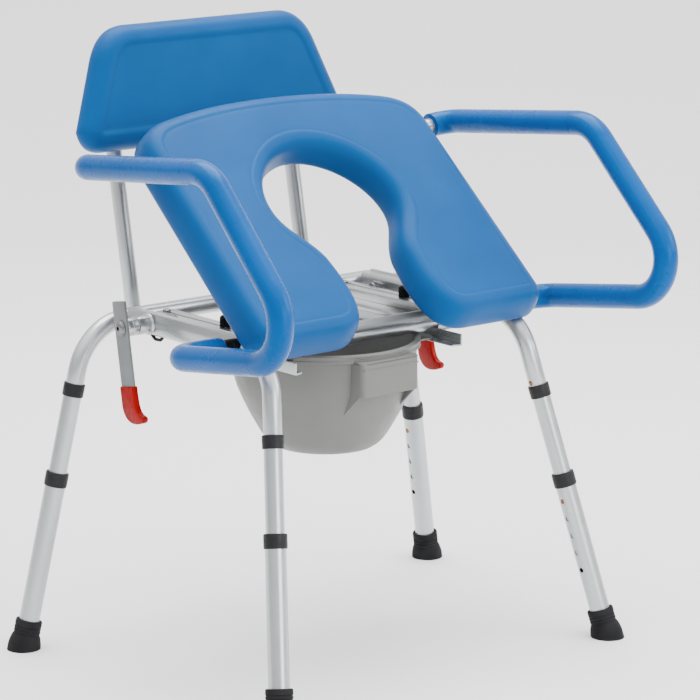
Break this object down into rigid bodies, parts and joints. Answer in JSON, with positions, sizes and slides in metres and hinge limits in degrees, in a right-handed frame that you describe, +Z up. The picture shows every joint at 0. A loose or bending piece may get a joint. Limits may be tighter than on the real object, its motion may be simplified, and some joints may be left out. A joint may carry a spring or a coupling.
{
  "type": "commode chair",
  "caption": "Commode chair with an aluminium frame, splayed height-adjustable legs, lifting open-front padded seat with foam armrests, padded backrest and slide-out pail.",
  "frame": {"origin": "centre of the footprint, on the floor", "axes": "+X to the right as seen from the front, +Y to the back of the chair, +Z up"},
  "size_m": [0.7912, 0.6417, 0.8464],
  "materials": {
    "pad": "satin moulded polyurethane skin",
    "foam": "satin closed-cell foam sleeve",
    "aluminium": "clear anodised, satin",
    "steel": "grey enamel, satin",
    "black_plastic": "satin",
    "rubber": "matte",
    "pail": "moulded polypropylene, satin",
    "red_vinyl": "dipped vinyl, gloss",
    "board": "black painted plywood",
    "brass": "dull"
  },
  "bodies": {
    "frame": {"rear_frame_tube": "aluminium", "front_cross_tube": "aluminium", "front_leg_tube_left": "aluminium", "outer_rail_left": "aluminium", "inner_rail_left": "aluminium", "pail_rail_left": "aluminium", "seat_bumper_left": "rubber", "backrest_upright_left": "aluminium", "front_leg_tube_right": "aluminium", "outer_rail_right": "aluminium", "inner_rail_right": "aluminium", "pail_rail_right": "aluminium", "seat_bumper_right": "rubber", "backrest_upright_right": "aluminium", "backrest_pad": "pad", "backrest_board": "board", "leg_post_front_left": "aluminium", "upper_collar_front_left": "black_plastic", "leg_post_front_right": "aluminium", "upper_collar_front_right": "black_plastic", "leg_post_rear_left": "aluminium", "upper_collar_rear_left": "black_plastic", "leg_post_rear_right": "aluminium", "upper_collar_rear_right": "black_plastic"},
    "seat": {"seat_support_frame": "aluminium", "pivot_axle": "steel", "arm_tube_left": "aluminium", "arm_foam_left": "foam", "pivot_bush_left": "black_plastic", "arm_tube_right": "aluminium", "arm_foam_right": "foam", "pivot_bush_right": "black_plastic"},
    "seat_top": {"seat_pad": "pad", "seat_board": "board"},
    "lever_left": {"lever_left": "steel", "lever_grip_left": "red_vinyl"},
    "lever_right": {"lever_right": "steel", "lever_grip_right": "red_vinyl"},
    "pail": {"pail": "pail"},
    "leg_front_left": {"lower_leg_front_left": "aluminium", "lower_collar_front_left": "black_plastic", "foot_front_left": "rubber"},
    "upper_button_front_left": {"upper_button_front_left": "brass"},
    "lower_button_front_left": {"lower_button_front_left": "brass"},
    "leg_front_right": {"lower_leg_front_right": "aluminium", "lower_collar_front_right": "black_plastic", "foot_front_right": "rubber"},
    "upper_button_front_right": {"upper_button_front_right": "brass"},
    "lower_button_front_right": {"lower_button_front_right": "brass"},
    "leg_rear_left": {"lower_leg_rear_left": "aluminium", "lower_collar_rear_left": "black_plastic", "foot_rear_left": "rubber"},
    "upper_button_rear_left": {"upper_button_rear_left": "brass"},
    "lower_button_rear_left": {"lower_button_rear_left": "brass"},
    "leg_rear_right": {"lower_leg_rear_right": "aluminium", "lower_collar_rear_right": "black_plastic", "foot_rear_right": "rubber"},
    "upper_button_rear_right": {"upper_button_rear_right": "brass"},
    "lower_button_rear_right": {"lower_button_rear_right": "brass"}
  },
  "joints": [
    {"name": "seat_tilt", "type": "hinge", "parent": "frame", "child": "seat", "pos_m": [0, -0.07, 0.458], "axis": [-1, 0, 0], "range_deg": [0, 41]},
    {"name": "seat_pad_shift", "type": "slide", "parent": "seat", "child": "seat_top", "axis": [0, -0.7547, -0.6561], "range_m": [0, 0.036]},
    {"name": "lever_left_turn", "type": "hinge", "parent": "frame", "child": "lever_left", "pos_m": [0, 0.127, 0.457], "axis": [-1, 0, 0], "range_deg": [0, 35]},
    {"name": "lever_right_turn", "type": "hinge", "parent": "frame", "child": "lever_right", "pos_m": [0, 0.127, 0.457], "axis": [-1, 0, 0], "range_deg": [0, 35]},
    {"name": "pail_slide", "type": "slide", "parent": "frame", "child": "pail", "axis": [0, -1, 0], "range_m": [0, 0.15]},
    {"name": "leg_front_left_height", "type": "slide", "parent": "frame", "child": "leg_front_left", "axis": [0.1586, 0.2368, 0.9585], "range_m": [0, 0.1016]},
    {"name": "upper_button_front_left_press", "type": "slide", "parent": "frame", "child": "upper_button_front_left", "axis": [-0.9873, 0.038, 0.154], "range_m": [0, 0.0035], "stiffness_N_per_m": 400},
    {"name": "lower_button_front_left_press", "type": "slide", "parent": "frame", "child": "lower_button_front_left", "axis": [-0.9873, 0.038, 0.154], "range_m": [0, 0.0035], "stiffness_N_per_m": 400},
    {"name": "leg_front_right_height", "type": "slide", "parent": "frame", "child": "leg_front_right", "axis": [-0.1586, 0.2368, 0.9585], "range_m": [0, 0.1016]},
    {"name": "upper_button_front_right_press", "type": "slide", "parent": "frame", "child": "upper_button_front_right", "axis": [0.9873, 0.038, 0.154], "range_m": [0, 0.0035], "stiffness_N_per_m": 400},
    {"name": "lower_button_front_right_press", "type": "slide", "parent": "frame", "child": "lower_button_front_right", "axis": [0.9873, 0.038, 0.154], "range_m": [0, 0.0035], "stiffness_N_per_m": 400},
    {"name": "leg_rear_left_height", "type": "slide", "parent": "frame", "child": "leg_rear_left", "axis": [0.1928, -0.0714, 0.9786], "range_m": [0, 0.1016]},
    {"name": "upper_button_rear_left_press", "type": "slide", "parent": "frame", "child": "upper_button_rear_left", "axis": [-0.9812, -0.014, 0.1923], "range_m": [0, 0.0035], "stiffness_N_per_m": 400},
    {"name": "lower_button_rear_left_press", "type": "slide", "parent": "frame", "child": "lower_button_rear_left", "axis": [-0.9812, -0.014, 0.1923], "range_m": [0, 0.0035], "stiffness_N_per_m": 400},
    {"name": "leg_rear_right_height", "type": "slide", "parent": "frame", "child": "leg_rear_right", "axis": [-0.1928, -0.0714, 0.9786], "range_m": [0, 0.1016]},
    {"name": "upper_button_rear_right_press", "type": "slide", "parent": "frame", "child": "upper_button_rear_right", "axis": [0.9812, -0.014, 0.1923], "range_m": [0, 0.0035], "stiffness_N_per_m": 400},
    {"name": "lower_button_rear_right_press", "type": "slide", "parent": "frame", "child": "lower_button_rear_right", "axis": [0.9812, -0.014, 0.1923], "range_m": [0, 0.0035], "stiffness_N_per_m": 400}
  ],
  "couplings": [
    {"joint": "seat_pad_shift", "follows": "seat_tilt", "m_per_rad": 0.050308}
  ]
}
